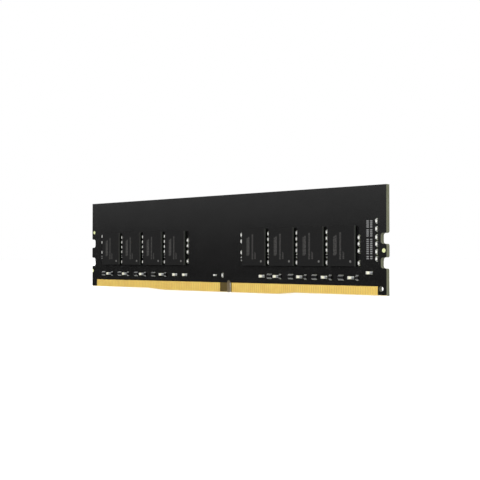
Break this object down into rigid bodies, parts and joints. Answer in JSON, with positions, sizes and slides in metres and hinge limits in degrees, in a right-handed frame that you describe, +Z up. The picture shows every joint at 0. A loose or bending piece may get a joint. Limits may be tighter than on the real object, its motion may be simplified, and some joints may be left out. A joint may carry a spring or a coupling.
{
  "type": "ram module",
  "caption": "Desktop memory module: black board with a keyed gold edge connector, memory chips along one face, and rows of small capacitors and resistors.",
  "frame": {"origin": "middle of the lowest contact edge, on the mid-plane of the board", "axes": "+X along the card towards contact 144's end, +Y out of the back face (the memory chips face -Y), +Z up out of the socket"},
  "size_m": [0.1334, 0.0033, 0.0312],
  "materials": {
    "laminate": "cut glass-epoxy laminate, matte",
    "copper": "bare copper foil",
    "solder_mask": "black solder mask, semi-gloss",
    "gold": "gold over nickel, polished",
    "tinned_copper": "tinned copper, satin",
    "solder": "reflowed solder, satin",
    "legend_ink": "grey printed ink, matte",
    "capacitor_ceramic": "fired ceramic, satin",
    "tin_plating": "matte tin plating",
    "resistor_overcoat": "black glass overcoat, satin",
    "chip_mould": "black epoxy moulding compound, matte",
    "chip_substrate": "dark package substrate, satin",
    "silicon": "polished silicon"
  },
  "bodies": {
    "root": {"capacitor_0402_bodies": "capacitor_ceramic", "capacitor_0402_terminals": "tin_plating", "capacitor_0603_bodies": "capacitor_ceramic", "capacitor_0603_terminals": "tin_plating", "component_lands": "tinned_copper", "contacts_back_145_to_221": "gold", "contacts_back_222_to_288": "gold", "contacts_front_1_to_77": "gold", "contacts_front_78_to_144": "gold", "dram_1_die": "silicon", "dram_1_mould": "chip_mould", "dram_1_solder_balls": "solder", "dram_1_substrate": "chip_substrate", "dram_2_die": "silicon", "dram_2_mould": "chip_mould", "dram_2_solder_balls": "solder", "dram_2_substrate": "chip_substrate", "dram_3_die": "silicon", "dram_3_mould": "chip_mould", "dram_3_solder_balls": "solder", "dram_3_substrate": "chip_substrate", "dram_4_die": "silicon", "dram_4_mould": "chip_mould", "dram_4_solder_balls": "solder", "dram_4_substrate": "chip_substrate", "dram_5_die": "silicon", "dram_5_mould": "chip_mould", "dram_5_solder_balls": "solder", "dram_5_substrate": "chip_substrate", "dram_6_die": "silicon", "dram_6_mould": "chip_mould", "dram_6_solder_balls": "solder", "dram_6_substrate": "chip_substrate", "dram_7_die": "silicon", "dram_7_mould": "chip_mould", "dram_7_solder_balls": "solder", "dram_7_substrate": "chip_substrate", "dram_8_die": "silicon", "dram_8_mould": "chip_mould", "dram_8_solder_balls": "solder", "dram_8_substrate": "chip_substrate", "ground_plane": "copper", "laminate_core": "laminate", "legend_marks": "legend_ink", "power_plane": "copper", "prepreg_back": "laminate", "prepreg_front": "laminate", "resistor_array_of_2_bodies": "resistor_overcoat", "resistor_array_of_4_bodies": "resistor_overcoat", "resistor_array_terminals": "tin_plating", "solder_joints": "solder", "solder_mask_back": "solder_mask", "solder_mask_front": "solder_mask", "spd_sensor_body": "chip_mould", "spd_sensor_leads": "tin_plating", "zq_resistor_bodies": "resistor_overcoat", "zq_resistor_terminals": "tin_plating"}
  },
  "joints": []
}
